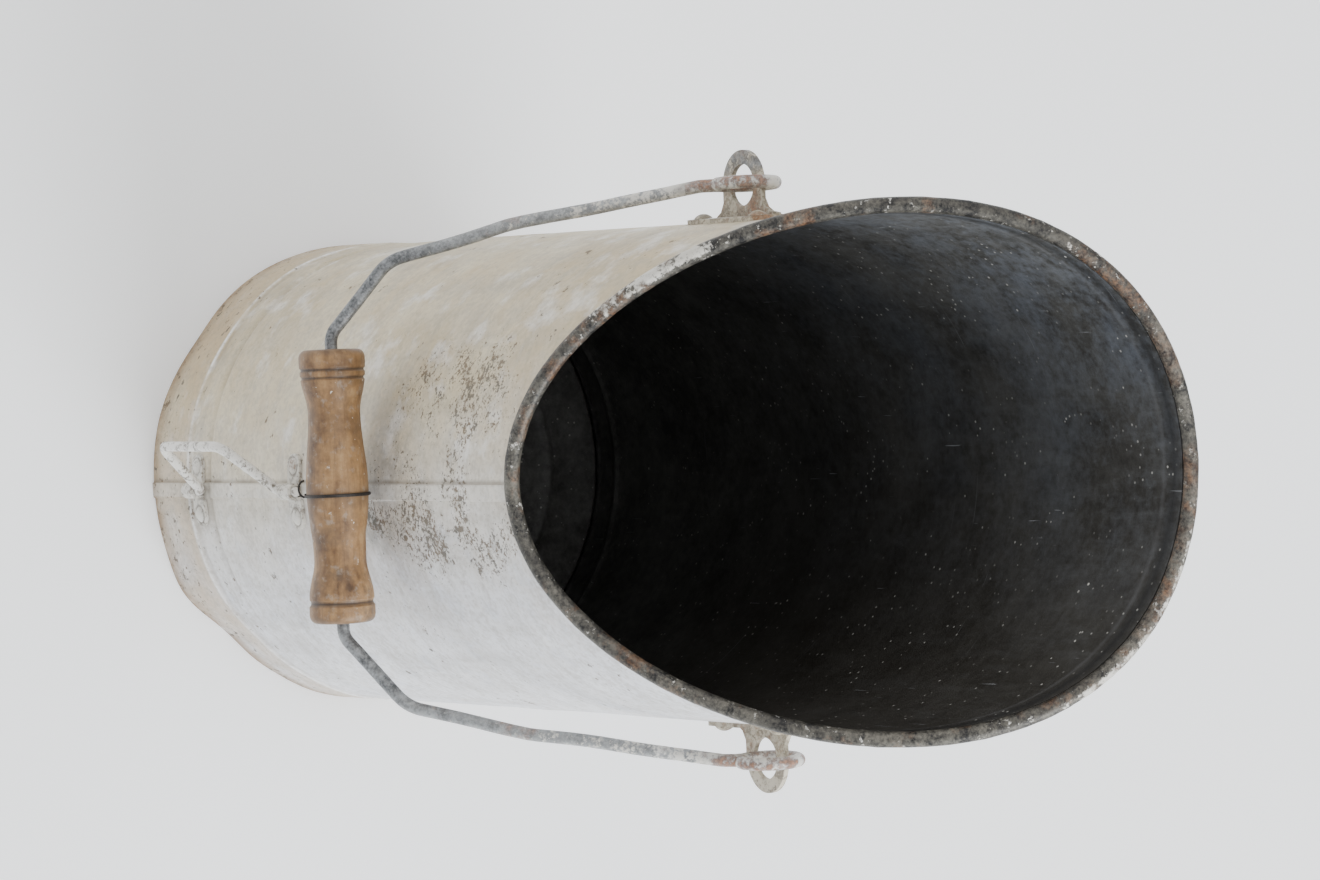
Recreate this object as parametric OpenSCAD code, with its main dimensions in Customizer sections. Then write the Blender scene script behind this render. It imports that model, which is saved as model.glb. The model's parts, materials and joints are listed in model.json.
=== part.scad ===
// Coal scuttle: tall sheet-steel bucket with a slanted mouth, a wired rim,
// a swinging wire bail with a turned wooden grip, and a small wire tilt
// handle low on its back. Units are millimetres, +Z is up, the origin is the
// centre of the base on the ground. The low side of the mouth, the lap seam
// and the tilt handle are at -Y, the tall pouring lip at +Y.

/* [Body] */
// Outer radius of the sheet cone, carried down to the ground
body_r = 111.2; // [95:0.5:130]
// Radius lost per millimetre of height
body_taper = 0.035; // [0.02:0.005:0.045]
// Thickness of the sheet
sheet_t = 0.8; // [0.6:0.1:1.0]
// Width of the lap seam down the back
seam_w = 7; // [5:0.5:9]
// Height of the ledge where the foot band ends
foot_h = 41; // [36:1:41]
// Height of the rounded groove pressed round the wall
groove_z = 60.5; // [60:0.5:80]

/* [Mouth] */
// Height of the rim at the back
rim_back_z = 338; // [325:1:345]
// Height of the rim at the pouring lip
rim_front_z = 498; // [485:1:515]
// Rise of the curved mouth above a straight slant, half way along
rim_rise = 34; // [30:0.5:36]
// Outer radius of the rolled rim
rim_r = 3; // [2.6:0.1:3.4]

/* [Ears] */
// Height of the eye hole in each ear
ear_z = 352; // [345:1:356]
// Distance of the eye hole from the centre line of the body
ear_x = 113; // [112:0.5:114]
// Radius of the eye hole
ear_hole_r = 8.25; // [8.1:0.05:8.5]
// Width of metal round the eye hole
ear_web = 5.5; // [5:0.25:6]
// Thickness of the ear plate
ear_t = 2; // [1.6:0.2:2.4]

/* [Bail] */
// Diameter of the bail rod
bail_d = 5; // [4.6:0.1:5.2]
// Inner radius of the eye bent at each end of the rod
eye_r = 9; // [8.8:0.1:9.2]
// Distance from the swing axis to the middle of the grip
bail_len = 185; // [180:1:190]
// Space left between the grip and the back wall at rest, outside the wire curl
grip_gap = 0.4; // [0.3:0.1:3]

/* [Grip] */
// Length of the turned wooden grip
grip_len = 112; // [108:1:113]
// Radius at the middle swell
grip_mid_r = 12.85; // [12:0.05:13]
// Radius at the two waists
grip_waist_r = 10.75; // [9.5:0.05:11.5]
// Radius at the end beads
grip_end_r = 13.6; // [13:0.1:14.5]
// Diameter of the thin wire bound round the grip
bind_d = 1; // [0.8:0.1:1.2]

/* [Tilt handle] */
// Diameter of the tilt handle wire
tilt_d = 4.5; // [4:0.1:4.6]
// Reach of the handle from its hinge line
tilt_reach = 31.5; // [28:0.5:36]
// Sideways offset of the hinge line from the centre of the back
tilt_x = 3.5; // [3:0.5:4]
// Angle of the handle at rest, towards -X from straight back
tilt_rest = 42; // [0:1:80]
// Height of the clips' straps
clip_h = 11; // [9:0.5:11]

/* [Hidden] */

paint = [0.84, 0.82, 0.77];
steel = [0.42, 0.41, 0.40];
black = [0.14, 0.14, 0.15];
wood = [0.55, 0.40, 0.27];
iron = [0.25, 0.23, 0.22];

wall_lean = atan(body_taper);
seat_gap = 0.02; // between a fitting and the wall it sits on
run_gap = 0.08;  // round a rod that turns in a bore
bottom_gap = 0.05;
wire_gap = 0.08; // between the rim wire and its curl

// ---- vectors and swept skins ----
function unit(v) = v / norm(v);
// unit vector nearest to v at right angles to the unit vector axis
function square_to(v, axis) = unit(v - (v * axis) * axis);
// triangles joining ring i to ring next, each of count points
function skin(i, next, count) = [for (j = [0 : count - 1])
    let (k = (j + 1) % count)
    each [[i * count + j, next * count + j, next * count + k],
          [i * count + j, next * count + k, i * count + k]]];

// ---- wall shapes ----
function wall_r(z) = body_r - body_taper * z;
foot_swell = 0.7;
// how far the pressed wall stands off the plain cone: [height, offset]
pressing = [
    [0, foot_swell], [foot_h - 2.5, foot_swell], [foot_h + 0.5, -0.5], [foot_h + 3, 0],
    [groove_z - 3, 0], [groove_z - 1.2, -0.8], [groove_z, -1.05],
    [groove_z + 1.2, -0.8], [groove_z + 3, 0]];
function pressed_r(z) = wall_r(z) + lookup(z, pressing);

// solid of revolution whose side stands off the pressed wall
module pressed_solid(offset, z0, z1) {
    rotate_extrude($fn = 120) polygon(concat(
        [[0, z0], [pressed_r(z0) + offset, z0]],
        [for (p = pressing) if (p[0] > z0 && p[0] < z1) [wall_r(p[0]) + p[1] + offset, p[0]]],
        [[pressed_r(z1) + offset, z1], [0, z1]]));
}

// plain cone standing off the wall, reaching half_h above and below z
module cone_solid(offset, z, half_h) {
    translate([0, 0, z - half_h])
        cylinder(r1 = wall_r(z - half_h) + offset, r2 = wall_r(z + half_h) + offset,
                 h = 2 * half_h, $fn = 120);
}

// conical layer reaching from inside the wall to thick outside it
module wall_layer(thick, z, half_h) {
    difference() {
        cone_solid(thick, z, half_h);
        cone_solid(-1, z, half_h + 1);
    }
}

// local frame on the outside of the wall: +Z outwards, +Y round the body
module wall_at(azimuth, z) {
    rotate([0, 0, azimuth]) translate([wall_r(z), 0, z])
        rotate([0, 90 - wall_lean, 0]) children();
}

// ---- mouth curve ----
// centre of the rolled rim, measured from the body axis
function rim_centre_r(z) = wall_r(z) - sheet_t + rim_r;
rim_back_y = -rim_centre_r(rim_back_z);
rim_front_y = rim_centre_r(rim_front_z);
// side view of the mouth: a parabola from the back point to the front point
function mouth_z(y) = let (t = (y - rim_back_y) / (rim_front_y - rim_back_y))
    rim_back_z + (rim_front_z - rim_back_z) * t + 4 * rim_rise * t * (1 - t);
function mouth_slope(y) = mouth_z(y + 0.5) - mouth_z(y - 0.5);
mouth_mid_z = 420;
mouth_mid_r = wall_r(mouth_mid_z);
// height of the rim at an angle round the body, by repeated substitution
function rim_z(angle, z = mouth_mid_z, rounds = 9) = rounds == 0 ? z
    : rim_z(angle, mouth_z(rim_centre_r(z) * sin(angle)), rounds - 1);
function rim_point(angle) = let (z = rim_z(angle), r = rim_centre_r(z))
    [r * cos(angle), r * sin(angle), z];

// the wall's own edge follows the rim a little below it, and ends under the roll
edge_scale = 1 + (rim_r - sheet_t / 2) / (mouth_mid_r - sheet_t / 2);
edge_drop = 0.82 * rim_r;
function edge_z(y) = let (
    cos_squared = max(0, 1 - pow(y / mouth_mid_r, 2)),
    slope = mouth_slope(y * edge_scale))
    mouth_z(y * edge_scale) - edge_drop * sqrt(1 + slope * slope * cos_squared);

// everything below the slanted mouth
edge_half = 106; // the edge curve is drawn this far to the front and back
edge_steps = 64;
module below_mouth() {
    edge = [for (i = [0 : edge_steps])
        let (y = edge_half - 2 * edge_half * i / edge_steps) [y, edge_z(y)]];
    rotate([90, 0, 90]) translate([0, 0, -150]) linear_extrude(height = 300)
        polygon(concat([[130, -1]], edge, [[-106.5, 320], [-130, 300], [-130, -1]]));
}

// ---- rivets ----
rivet_r = 2;
ear_rivet_az = -asin(7 / wall_r(ear_z));
ear_rivet_dz = 19.5;
clip_rivet_x = 11;

// through hole for a rivet, in the wall_at frame
module rivet_hole() {
    translate([0, 0, -6]) cylinder(r = rivet_r + 0.05, h = 14, $fn = 32);
}

// rivet through the sheet and a strap: domed head outside, flat head inside
module rivet(strap_t, head_r, dome_h) {
    dome_r = (head_r * head_r + dome_h * dome_h) / (2 * dome_h);
    translate([0, 0, strap_t + 0.03]) intersection() {
        translate([0, 0, dome_h - dome_r]) sphere(r = dome_r, $fn = 48);
        cylinder(r = head_r + 1, h = dome_h + 1, $fn = 48);
    }
    translate([0, 0, -sheet_t - 0.7]) cylinder(r = rivet_r, h = sheet_t + strap_t + 1.2, $fn = 32);
    translate([0, 0, -sheet_t - 1.15]) cylinder(r = 3.3, h = 1, $fn = 32);
}

// children at both rivets of the +X ear
module at_ear_rivets() {
    for (side = [-1, 1])
        wall_at(ear_rivet_az, ear_z + side * ear_rivet_dz) children();
}

// children at both rivets of the clip at height z
module at_clip_rivets(z) {
    for (side = [-1, 1])
        wall_at(-90 + asin((tilt_x + side * clip_rivet_x) / wall_r(z)), z) children();
}

// clip places along the leaning hinge line, measured from hinge_z
hinge_z = 100;
clip_low = -49;
clip_high = 50.5;
function clip_z(along) = hinge_z + along * cos(wall_lean);

// ---- body ----
hem_h = 9;

// the sheet between its outer and inner faces, with a hem turned in at the foot
module sheet_shell() {
    difference() {
        pressed_solid(0, 0, 520);
        pressed_solid(-sheet_t, hem_h, 521);
        pressed_solid(-2 * sheet_t, -1, hem_h + 1);
    }
}

// lap of the seam: the outer edge of the sheet overlaps the inner one
module seam_lap(grow = 0, z0 = 0, z1 = 520) {
    intersection() {
        difference() {
            pressed_solid(sheet_t + grow, z0, z1);
            pressed_solid(-sheet_t / 2, z0 - 1, z1 + 1);
        }
        translate([-grow, -160, z0 - 1]) cube([seam_w + 2 * grow, 160, z1 - z0 + 2]);
    }
}

module body_wall() {
    color(paint) difference() {
        intersection() {
            union() {
                sheet_shell();
                seam_lap();
            }
            below_mouth();
        }
        for (side = [0, 1])
            mirror([side, 0, 0]) at_ear_rivets() rivet_hole();
        for (along = [clip_low, clip_high])
            at_clip_rivets(clip_z(along)) rivet_hole();
    }
}

// ---- rolled rim and its wire, swept along the mouth ----
rim_steps = 80;
// section is a list of [outward, upward] points, wound anticlockwise
module rim_sweep(section) {
    rings = [for (i = [0 : rim_steps - 1]) let (
            a = 360 * i / rim_steps,
            centre = rim_point(a),
            along = unit(rim_point(a + 0.5) - rim_point(a - 0.5)),
            out = square_to([cos(a), sin(a), 0], along),
            up = cross(out, along))
        [for (p = section) centre + p[0] * out + p[1] * up]];
    polyhedron(points = [for (ring = rings) each ring],
        faces = [for (i = [0 : rim_steps - 1]) each skin(i, (i + 1) % rim_steps, len(section))],
        convexity = 10);
}
function arc(r, angles) = [for (a = angles) r * [cos(a), sin(a)]];

// the sheet's edge rolled over the wire, open on a narrow slit beside the wall
module rim_curl() {
    angles = [for (i = [0 : 14]) 215 + 335 * i / 14];
    back_angles = [for (i = [14 : -1 : 0]) angles[i]];
    color(steel) rim_sweep(concat(arc(rim_r, angles), arc(rim_r - sheet_t, back_angles)));
}
module rim_wire() {
    color(steel) rim_sweep(arc(rim_r - sheet_t - wire_gap, [for (i = [0 : 9]) 36 * i]));
}

// ---- raised bottom, set inside the foot ----
module bottom_plate() {
    floor_z = foot_h - 1;
    skirt_z = hem_h + 0.5;
    shoulder_z = foot_h - 4;
    inset = foot_swell - sheet_t - bottom_gap;
    skirt_r = wall_r(skirt_z) + inset;
    shoulder_r = wall_r(shoulder_z) + inset;
    // top face from the outside in, with a raised ring: [radius, height]
    top = [[84, floor_z], [81, floor_z + 1.6], [78, floor_z], [30, floor_z], [0, floor_z + 1]];
    underside = [for (i = [len(top) - 1 : -1 : 0]) top[i] - [0, sheet_t]];
    color(black) rotate_extrude($fn = 120) polygon(concat(
        [[skirt_r, skirt_z], [shoulder_r, shoulder_z], [shoulder_r - 2.6, floor_z]],
        top,
        underside,
        [[shoulder_r - 2.9, floor_z - sheet_t], [shoulder_r - sheet_t, shoulder_z - 0.4],
         [skirt_r - sheet_t, skirt_z]]));
}

// ---- ears: a radial plate with an eye hole, on a curved foot flange ----
ear_outer_r = ear_hole_r + ear_web;
ear_half_h = 25;
flange_t = 1.8;

// outline of the plate in side view: [distance from body axis, height]
module ear_outline() {
    root_x = 93; // inside the wall, trimmed off later
    face_r = wall_r(ear_z);
    translate([ear_x, ear_z]) circle(r = ear_outer_r, $fn = 64);
    translate([root_x, ear_z - ear_outer_r]) square([ear_x - root_x, 2 * ear_outer_r]);
    for (side = [-1, 1]) polygon([
        [root_x, ear_z + side * (ear_half_h - 1)],
        [face_r + 1.6, ear_z + side * (ear_half_h - 1)],
        [face_r + 2.6, ear_z + side * (ear_outer_r + 5.5)],
        [face_r + 4.4, ear_z + side * (ear_outer_r + 2.2)],
        [face_r + 8, ear_z + side * ear_outer_r],
        [root_x, ear_z + side * ear_outer_r]]);
}

// outline of the flange seen along X: [y, z], rounded at its back corners
module flange_outline() {
    corner_r = 4;
    translate([-9.5, ear_z - ear_half_h]) square([9.5 + ear_t / 2, 2 * ear_half_h]);
    translate([-13, ear_z - ear_half_h + corner_r]) square([8, 2 * (ear_half_h - corner_r)]);
    for (side = [-1, 1])
        translate([-9, ear_z + side * (ear_half_h - corner_r)]) circle(r = corner_r, $fn = 32);
}

module ear() {
    difference() {
        union() {
            rotate([90, 0, 0]) linear_extrude(height = ear_t, center = true)
                union() ear_outline();
            intersection() {
                wall_layer(flange_t, ear_z, 40);
                rotate([90, 0, 90]) linear_extrude(height = 150) union() flange_outline();
            }
        }
        cone_solid(seat_gap, ear_z, 60);
        translate([ear_x, 0, ear_z]) rotate([90, 0, 0])
            cylinder(r = ear_hole_r, h = 10, center = true, $fn = 64);
        at_ear_rivets() rivet_hole();
    }
}
module right_ear() { color(paint) ear(); }
module left_ear() { color(paint) mirror([1, 0, 0]) ear(); }

module ear_rivets() {
    at_ear_rivets() rivet(flange_t, head_r = 3.8, dome_h = 1.9);
}
module right_ear_rivets() { color(paint) ear_rivets(); }
module left_ear_rivets() { color(paint) mirror([1, 0, 0]) ear_rivets(); }

// ---- bent round rod: one tube swept along a path of straights and bends ----
bend_step = 9; // largest turn between two points of a bend, in degrees
// points round the corner at b, on the way from a to c
function bend(a, b, c, radius) = let (
    dir_in = unit(b - a),
    dir_out = unit(c - b),
    cosine = max(-1, min(1, dir_in * dir_out)),
    turn = acos(cosine),
    inward = unit(dir_out - cosine * dir_in),
    start = b - dir_in * (radius * tan(turn / 2)),
    steps = max(2, ceil(turn / bend_step)))
    [for (i = [0 : steps]) let (angle = turn * i / steps)
        start + radius * sin(angle) * dir_in + radius * (1 - cos(angle)) * inward];
// path through the corners, each rounded by its own radius; both ends stay as given
function rod_path(corners, radii) = let (last = len(corners) - 1) concat(
    [corners[0]],
    [for (i = [1 : 1 : last - 1])
        each bend(corners[i - 1], corners[i], corners[i + 1], radii[i])],
    [corners[last]]);
// carries the section's first axis along the path without twisting it
function carry(dirs, axes, i = 1) = i == len(dirs) ? axes
    : carry(dirs, concat(axes, [square_to(axes[i - 1], dirs[i])]), i + 1);

module tube(path, d) {
    sides = 16;
    last = len(path) - 1;
    dirs = [for (i = [0 : last])
        i == 0 ? unit(path[1] - path[0])
        : i == last ? unit(path[last] - path[last - 1])
        : unit(unit(path[i + 1] - path[i]) + unit(path[i] - path[i - 1]))];
    axes = carry(dirs, [square_to([1, 0, 0], dirs[0])]);
    points = [for (i = [0 : last])
        let (side_axis = cross(dirs[i], axes[i]))
        for (j = [0 : sides - 1])
            let (a = 360 * j / sides)
            path[i] + d / 2 * (cos(a) * axes[i] + sin(a) * side_axis)];
    polyhedron(points = points, faces = concat(
        [[for (j = [0 : sides - 1]) j]],
        [for (i = [0 : last - 1]) each skin(i, i + 1, sides)],
        [[for (j = [0 : sides - 1]) last * sides + sides - 1 - j]]), convexity = 10);
}

// ---- bail ----
pivot_z = ear_z + ear_hole_r + ear_web / 2 - 0.2;
curl_reach = 15.6;  // grip axis to the outside of the binding wire's curl
grip_rest_z = 222.5; // height at which the grip meets the wall
grip_rest_y = wall_r(grip_rest_z) + sheet_t + curl_reach + grip_gap;
bail_rest = asin(grip_rest_y / bail_len);
// local frame of the bail: pivot at the origin, rod hanging along -Z
module bail_frame() {
    translate([0, 0, pivot_z]) rotate([-bail_rest, 0, 0]) children();
}
module grip_frame() {
    bail_frame() translate([0, 0, -bail_len]) children();
}

// the eye: the rod's end carried round a circle until it almost meets its own neck
eye_drop = 5.4; // eye centre below the pivot
eye_mid_r = eye_r + bail_d / 2;
eye_end = 247;  // angle at which the rod's end stops
neck_r = 4;
neck_h = sqrt(pow(eye_mid_r + neck_r, 2) - neck_r * neck_r);
neck_a = asin(neck_r / (eye_mid_r + neck_r));
neck_z = -eye_drop - neck_h;
eye_path = concat(
    [for (i = [0 : 30])
        let (a = eye_end - (eye_end + 90 - neck_a) * i / 30)
        [ear_x, eye_mid_r * cos(a), -eye_drop + eye_mid_r * sin(a)]],
    [for (i = [1 : 5])
        let (a = 90 + neck_a + (90 - neck_a) * i / 5)
        [ear_x, neck_r + neck_r * cos(a), neck_z + neck_r * sin(a)]]);
// one side of the bail, from the neck to the middle of the grip
side_path = rod_path(
    [[ear_x, 0, neck_z], [ear_x, 0, neck_z - 4], [102.2, 0, -105], [90.8, 0, -158],
     [62, 0, -bail_len], [0, 0, -bail_len]],
    [0, 20, 60, 20, 9, 0]);
half_bail = concat(eye_path, [for (i = [1 : len(side_path) - 2]) side_path[i]]);
module bail_rod() {
    other_half = [for (i = [len(half_bail) - 1 : -1 : 0])
        let (p = half_bail[i]) [-p[0], p[1], p[2]]];
    color(steel) bail_frame() tube(concat(half_bail, other_half), bail_d);
}

// ---- grip, turned about X with its middle at x = 0 ----
grip_half = grip_len / 2;
function groove(x, centre, half_w, depth) = let (away = abs(x - centre))
    away < half_w ? -depth * (1 - pow(away / half_w, 2)) : 0;
// radius without grooves: middle swell, flare from the waist, end bead, rounded end
function grip_base(away) =
    away < 30 ?
        (grip_mid_r + grip_waist_r) / 2 + (grip_mid_r - grip_waist_r) / 2 * cos(6 * away)
    : away < grip_half - 10 ? let (k = (away - 30) / (grip_half - 40))
        (grip_end_r + grip_waist_r) / 2 - 0.12
            - (grip_end_r - grip_waist_r - 0.24) / 2 * cos(180 * k)
    : away < grip_half - 3.5 ? grip_end_r - 0.25 * pow((away - grip_half + 5) / 5, 2)
    : grip_end_r - 3 + 3 * sqrt(max(0, 1 - pow((away - grip_half + 3.5) / 3.5, 2)));
// two narrow grooves near the -X end, one wider near the +X end
function grip_r(x) = grip_base(abs(x))
    + groove(x, -grip_half + 8.3, 0.8, 0.5)
    + groove(x, -grip_half + 11.6, 0.8, 0.5)
    + groove(x, grip_half - 8.3, 1.2, 0.6);
grip_stations = concat(
    [-grip_half],
    [for (i = [1 : 93]) -grip_half + 0.01 + i * (grip_len - 12.02) / 93],
    [for (i = [1 : 11]) grip_half - 12.01 + i],
    [grip_half]);
module wood_grip() {
    color(wood) grip_frame() difference() {
        rotate([0, 90, 0]) rotate_extrude($fn = 96) polygon(concat(
            [[0, -grip_half]],
            [for (x = grip_stations) [grip_r(x), x]],
            [[0, grip_half]]));
        rotate([0, 90, 0])
            cylinder(r = bail_d / 2 + run_gap, h = grip_len + 4, center = true, $fn = 48);
    }
}

module grip_binding_wire() {
    bind_x = 3.5;
    bind_gap = 0.06;
    bind_r = grip_r(bind_x) + bind_gap + bind_d / 2;
    curl_r = 3.6;
    curl_wire_r = 0.45;
    curl_x = bind_x - 3.35;
    color(iron) grip_frame() union() {
        translate([bind_x, 0, 0]) rotate([0, 90, 0]) rotate_extrude($fn = 72)
            translate([bind_r, 0]) circle(d = bind_d, $fn = 24);
        // small curl of the wire's twisted end
        difference() {
            rotate([-25, 0, 0]) translate([curl_x, 0, -(curl_reach - curl_wire_r - curl_r)])
                rotate([90, 0, 0]) rotate_extrude($fn = 48)
                    translate([curl_r, 0]) circle(r = curl_wire_r, $fn = 24);
            rotate([0, 90, 0])
                cylinder(r = grip_mid_r + bind_gap, h = 60, center = true, $fn = 72);
        }
    }
}

// ---- tilt handle, hinged upright in two riveted clips ----
hinge_off = 3.6; // hinge line to the wall
clip_t = 1.6;
module hinge_frame() {
    translate([tilt_x, -wall_r(hinge_z), hinge_z]) rotate([-wall_lean, 0, 0])
        translate([0, -hinge_off, 0]) children();
}
module tilt_handle() {
    low = clip_low + clip_h / 2;
    high = clip_high - clip_h / 2;
    end_reach = clip_h / 2 + 1.5; // from each clip's middle to the rod's end
    corners = [
        [0, 0, clip_low - end_reach], [0, 0, low + 4], [tilt_reach, 0, low + 14],
        [tilt_reach, 0, high - 13.5], [0, 0, high - 4], [0, 0, clip_high + end_reach]];
    color(paint) hinge_frame() rotate([0, 0, -tilt_rest]) rotate([0, 0, -90])
        tube(rod_path(corners, [0, 5, 7, 7, 5, 0]), tilt_d);
}

// strap with a saddle over the rod, placed along the hinge line
module clip(along) {
    z = clip_z(along);
    bore_r = tilt_d / 2 + run_gap;
    saddle_r = bore_r + 1.3;
    strap_h = clip_h * 0.999;
    difference() {
        union() {
            hinge_frame() translate([0, 0, along - clip_h / 2])
                linear_extrude(height = clip_h) union() {
                    circle(r = saddle_r, $fn = 48);
                    translate([-saddle_r, 0]) square([2 * saddle_r, 6]);
                }
            intersection() {
                wall_layer(clip_t, z, 20);
                translate([tilt_x, 0, z]) rotate([90, 0, 0]) linear_extrude(height = 150) union() {
                    square([2 * clip_rivet_x, strap_h], center = true);
                    for (side = [-1, 1])
                        translate([side * clip_rivet_x, 0]) circle(d = strap_h, $fn = 48);
                }
            }
        }
        cone_solid(seat_gap, z, 30);
        seam_lap(seat_gap, z - 14, z + 14);
        hinge_frame() translate([0, 0, along - 20]) {
            cylinder(r = bore_r, h = 40, $fn = 48);
            translate([-bore_r, 0, 0]) cube([2 * bore_r, 12, 40]);
        }
        at_clip_rivets(z) rivet_hole();
    }
}
module tilt_upper_clip() { color(paint) clip(clip_high); }
module tilt_lower_clip() { color(paint) clip(clip_low); }

module clip_rivets(along) {
    at_clip_rivets(clip_z(along)) rivet(clip_t, head_r = 3.6, dome_h = 1.6);
}
module tilt_upper_clip_rivets() { color(paint) clip_rivets(clip_high); }
module tilt_lower_clip_rivets() { color(paint) clip_rivets(clip_low); }

body_wall();
rim_curl();
rim_wire();
bottom_plate();
left_ear();
right_ear();
left_ear_rivets();
right_ear_rivets();
bail_rod();
wood_grip();
grip_binding_wire();
tilt_handle();
tilt_upper_clip();
tilt_lower_clip();
tilt_upper_clip_rivets();
tilt_lower_clip_rivets();
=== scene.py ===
"""A tall old coal hod: a tapering white-painted sheet-steel body, black inside, with a rolled rim.

The hod stands on z = 0 about the Z axis. Its slanting mouth is low at the back (-Y, where the lap
seam and the tilt handle are) and rises to a lip at the front (+Y). The bail swings on an ear at
-X and one at +X and carries a turned wooden grip. Shapes are worked out in mm and built in metres.
Azimuths run from +X towards +Y, so the back is at -90 degrees.
"""
import bpy, bmesh, json, math
import numpy as np
from mathutils import Vector, Matrix, noise


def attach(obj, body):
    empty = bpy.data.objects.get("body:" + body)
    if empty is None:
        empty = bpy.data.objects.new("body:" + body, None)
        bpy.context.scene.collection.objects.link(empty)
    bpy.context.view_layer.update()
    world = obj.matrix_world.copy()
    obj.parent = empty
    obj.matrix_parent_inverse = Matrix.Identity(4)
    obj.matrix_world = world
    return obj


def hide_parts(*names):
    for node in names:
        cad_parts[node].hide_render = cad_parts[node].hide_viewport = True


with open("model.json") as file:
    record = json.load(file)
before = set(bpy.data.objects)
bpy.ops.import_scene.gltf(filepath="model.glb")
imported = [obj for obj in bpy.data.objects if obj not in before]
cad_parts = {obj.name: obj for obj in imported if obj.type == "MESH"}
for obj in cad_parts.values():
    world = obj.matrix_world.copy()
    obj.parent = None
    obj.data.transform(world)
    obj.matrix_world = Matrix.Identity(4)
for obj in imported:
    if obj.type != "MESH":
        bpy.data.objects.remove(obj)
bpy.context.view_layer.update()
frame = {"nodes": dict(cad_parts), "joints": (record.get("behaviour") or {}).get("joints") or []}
NODES = frame["nodes"]
JOINTS = {joint["name"]: joint for joint in frame["joints"]}
MM = 0.001
TAU = 2 * math.pi

# ---------------------------------------------------------------- driving dimensions (mm)
BODY_R = 111.2              # wall radius at z = 0
TAPER = 0.035               # radius lost per mm of height
SHEET = 0.8                 # sheet thickness
FOOT_H = 41.0               # top of the foot band
FOOT_OUT = 0.7              # how far the foot band stands out
GROOVE_Z = 60.5             # pressed groove round the body
MOUTH_BACK_Z, MOUTH_FRONT_Z = 338.0, 498.0
MOUTH_RISE = 34.0           # how far the mouth's middle arches above a straight slant
MOUTH_MID_Z = 420.0         # a height near the mouth's middle
RIM_R = 3.0                 # outer radius of the rolled rim's section
EAR_X, EAR_Z = 113.0, 352.0
BAIL_D = 5.0
GRIP_HALF = 56.0
# turned grooves in the grip: (x, half width, depth)
GRIP_GROOVES = [(-GRIP_HALF + 8.3, 0.9, 0.6), (-GRIP_HALF + 11.6, 0.9, 0.6),
                (GRIP_HALF - 8.3, 1.4, 0.7)]

# pressed profile of the wall: (height, offset outwards)
PRESS = [(0, FOOT_OUT), (FOOT_H - 2.5, FOOT_OUT), (FOOT_H + .5, -.5), (FOOT_H + 3, 0),
         (GROOVE_Z - 3, 0), (GROOVE_Z - 1.2, -.8), (GROOVE_Z, -1.05), (GROOVE_Z + 1.2, -.8),
         (GROOVE_Z + 3, 0)]
PRESS_Z, PRESS_OUT = np.array(PRESS, float).T

# places where fittings sit flat, so the sheet keeps its true shape:
# (azimuth, height, azimuth reach, height reach)
FLATS = [(0, EAR_Z, 16, 45), (180, EAR_Z, 16, 45), (-90, 51, 15, 16), (-90, 150, 15, 16)]

# dents in the wall: (azimuth, height, azimuth reach, height reach, depth inwards)
DENTS = [(-46, 6, 11, 34, 4.2), (-30, 10, 9, 26, 1.8), (-62, 0, 8, 22, -1.2),
         (-128, 4, 12, 30, 2.0), (-150, 30, 14, 30, -1.0), (60, 12, 16, 30, 1.6),
         (140, 90, 20, 60, 1.1), (-60, 200, 16, 70, 0.9)]


# ---------------------------------------------------------------- body surface
def clamp01(value):
    return min(1.0, max(0.0, value))


def turn_from(angle, start, full=360):
    """signed turn from start to angle, the short way round"""
    return (angle - start + full / 2) % full - full / 2


def wall_r(z):
    return BODY_R - TAPER * z


def press(z):
    """the pressed profile at height z, with its corners softened"""
    steps = np.linspace(-1.1, 1.1, 9)
    weights = np.exp(-(steps / 0.7) ** 2)
    total = sum(np.interp(z + step, PRESS_Z, PRESS_OUT) * weight
                for step, weight in zip(steps, weights))
    return float(total / weights.sum())


def rim_centre_r(z):
    return wall_r(z) - SHEET + RIM_R


MOUTH_BACK_Y, MOUTH_FRONT_Y = -rim_centre_r(MOUTH_BACK_Z), rim_centre_r(MOUTH_FRONT_Z)


def mouth_z(y):
    """height of the rolled rim's centre line"""
    t = (y - MOUTH_BACK_Y) / (MOUTH_FRONT_Y - MOUTH_BACK_Y)
    return MOUTH_BACK_Z + (MOUTH_FRONT_Z - MOUTH_BACK_Z) * t + 4 * MOUTH_RISE * t * (1 - t)


def rim_point(angle):
    """point on the rim's centre line, found by repeated substitution"""
    z = MOUTH_MID_Z
    for _ in range(14):
        z = mouth_z(rim_centre_r(z) * math.sin(angle))
    r = rim_centre_r(z)
    return np.array([r * math.cos(angle), r * math.sin(angle), z])


# from the sheet's mid-thickness out to the rim's centre line
EDGE_TO_RIM = 1 + (RIM_R - SHEET / 2) / (wall_r(MOUTH_MID_Z) - SHEET / 2)


def edge_z(y):
    """height of the sheet's top edge, hidden inside the roll"""
    cos_squared = max(0.0, 1 - (y / wall_r(MOUTH_MID_Z)) ** 2)
    rim_y = y * EDGE_TO_RIM
    slope = mouth_z(rim_y + .5) - mouth_z(rim_y - .5)
    return mouth_z(rim_y) - 0.42 * RIM_R * math.sqrt(1 + slope * slope * cos_squared)


def fbm(point, scale, seed, octaves):
    """layered noise, about -1 to 1"""
    total, amplitude, reach = 0.0, 1.0, 0.0
    q = Vector(point) / scale + Vector((seed * 17.3, seed * -9.1, seed * 5.7))
    for _ in range(octaves):
        total += amplitude * noise.noise(q)
        reach += amplitude
        amplitude *= 0.5
        q = q * 2.03
    return total / reach


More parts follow.
